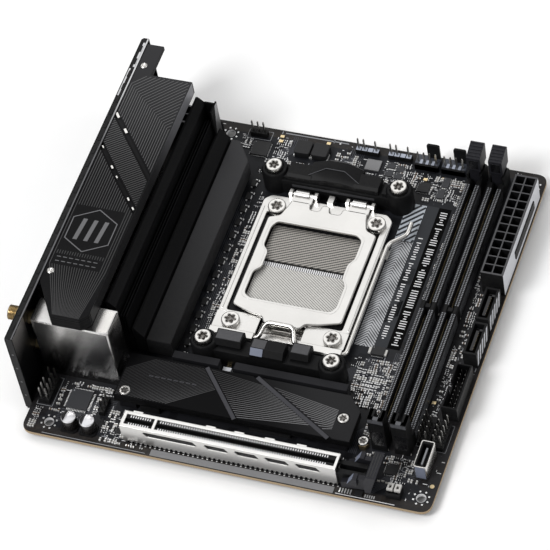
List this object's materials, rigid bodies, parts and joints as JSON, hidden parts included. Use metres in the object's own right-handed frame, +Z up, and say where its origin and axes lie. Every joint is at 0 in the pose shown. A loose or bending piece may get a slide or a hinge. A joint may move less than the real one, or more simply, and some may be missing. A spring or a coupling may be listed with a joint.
{
  "type": "motherboard",
  "caption": "Compact square desktop motherboard with a lever-locked processor socket, memory, expansion and storage slots, black coolers and a rear port shield.",
  "frame": {"origin": "axis of the rear mounting hole beside the expansion slot, on the board's underside", "axes": "+X from the rear ports towards the memory edge, +Y from the expansion slot towards the far edge, +Z up off the component side"},
  "size_m": [0.1818, 0.1729, 0.0464],
  "materials": {
    "board_laminate": "satin solder mask",
    "shield_paint": "satin black",
    "cover_paint": "matt black, fine texture",
    "anodised_black": "black anodised",
    "rail_finish": "grained grey black",
    "bright_steel": "bright",
    "load_plate_steel": "bright nickel",
    "backplate_paint": "black",
    "port_steel": "bright",
    "gold_brass": "gold plated",
    "pin_metal": "pale gold",
    "black_plastic": "matt",
    "latch_plastic": "satin",
    "pale_plastic": "satin",
    "port_plastic": "satin",
    "chip_resin": "matt epoxy",
    "ferrite": "matt ferrite",
    "card_laminate": "satin",
    "pad_rubber": "matt",
    "can_aluminium": "satin",
    "solder": "satin"
  },
  "bodies": {
    "board": {"pcb": "board_laminate", "io_shield": "shield_paint", "io_cover": "cover_paint", "cover_rivets": "bright_steel", "vrm_heatsink": "anodised_black", "thermal_pads": "pad_rubber", "vrm_chokes": "ferrite", "vrm_mosfets": "chip_resin", "heatsink_screws": "bright_steel", "wifi_can": "bright_steel", "wifi_card": "card_laminate", "wifi_socket": "black_plastic", "antenna_connectors": "gold_brass", "audio_jacks": "black_plastic", "lan_usb_shell": "port_steel", "usb_stack_shell": "port_steel", "usb_c_ports": "port_steel", "display_shell": "port_steel", "port_inserts": "port_plastic", "button_housing": "black_plastic", "socket_backplate": "backplate_paint", "socket_body": "black_plastic", "socket_contacts": "gold_brass", "socket_frame": "load_plate_steel", "socket_screws": "bright_steel", "bracket_top": "black_plastic", "bracket_bottom": "black_plastic", "bracket_screws": "bright_steel", "dimm_slot_a": "black_plastic", "dimm_slot_b": "black_plastic", "dimm_contacts": "gold_brass", "pcie_slot": "black_plastic", "pcie_armor": "load_plate_steel", "pcie_contacts": "gold_brass", "m2_heatsink": "anodised_black", "m2_rails": "rail_finish", "m2_socket": "black_plastic", "m2_screws": "bright_steel", "m2_standoff": "bright_steel", "chipset": "chip_resin", "atx_connector": "black_plastic", "eps_connector": "black_plastic", "power_pins": "gold_brass", "sata_ports": "black_plastic", "usb3_header": "black_plastic", "front_usb_c": "port_steel", "fan_headers": "black_plastic", "header_bases": "black_plastic", "header_pins": "pin_metal", "battery_connector": "pale_plastic", "audio_capacitors": "can_aluminium", "chips": "chip_resin", "power_coils": "ferrite", "solder_tails": "solder"},
    "load_plate": {"load_plate": "load_plate_steel"},
    "load_lever": {"load_lever": "bright_steel"},
    "dimm_latch_a": {"dimm_latch_a": "latch_plastic"},
    "dimm_latch_b": {"dimm_latch_b": "latch_plastic"},
    "pcie_latch": {"pcie_latch": "latch_plastic"},
    "flash_button": {"flash_button": "pale_plastic"}
  },
  "joints": [
    {"name": "load_lever_hinge", "type": "hinge", "parent": "board", "child": "load_lever", "pos_m": [0.07814, 0.05585, 0.00467], "axis": [1, 0, 0], "range_deg": [0, 100]},
    {"name": "load_plate_hinge", "type": "hinge", "parent": "board", "child": "load_plate", "pos_m": [0.07814, 0.12845, 0.00657], "axis": [-1, 0, 0], "range_deg": [0, 95]},
    {"name": "memory_latch_a_hinge", "type": "hinge", "parent": "board", "child": "dimm_latch_a", "pos_m": [0.13284, 0.15525, 0.006], "axis": [-1, 0, 0], "range_deg": [0, 28]},
    {"name": "memory_latch_b_hinge", "type": "hinge", "parent": "board", "child": "dimm_latch_b", "pos_m": [0.14214, 0.15525, 0.006], "axis": [-1, 0, 0], "range_deg": [0, 28]},
    {"name": "expansion_latch_hinge", "type": "hinge", "parent": "board", "child": "pcie_latch", "pos_m": [0.12734, 0.00165, 0.0055], "axis": [0, 1, 0], "range_deg": [0, 20], "stiffness_Nm_per_rad": 0.01, "springref_deg": -5.73},
    {"name": "flash_button_slide", "type": "slide", "parent": "board", "child": "flash_button", "axis": [1, 0, 0], "range_m": [0, 0.0008], "stiffness_N_per_m": 200, "springref_m": -0.0005}
  ]
}
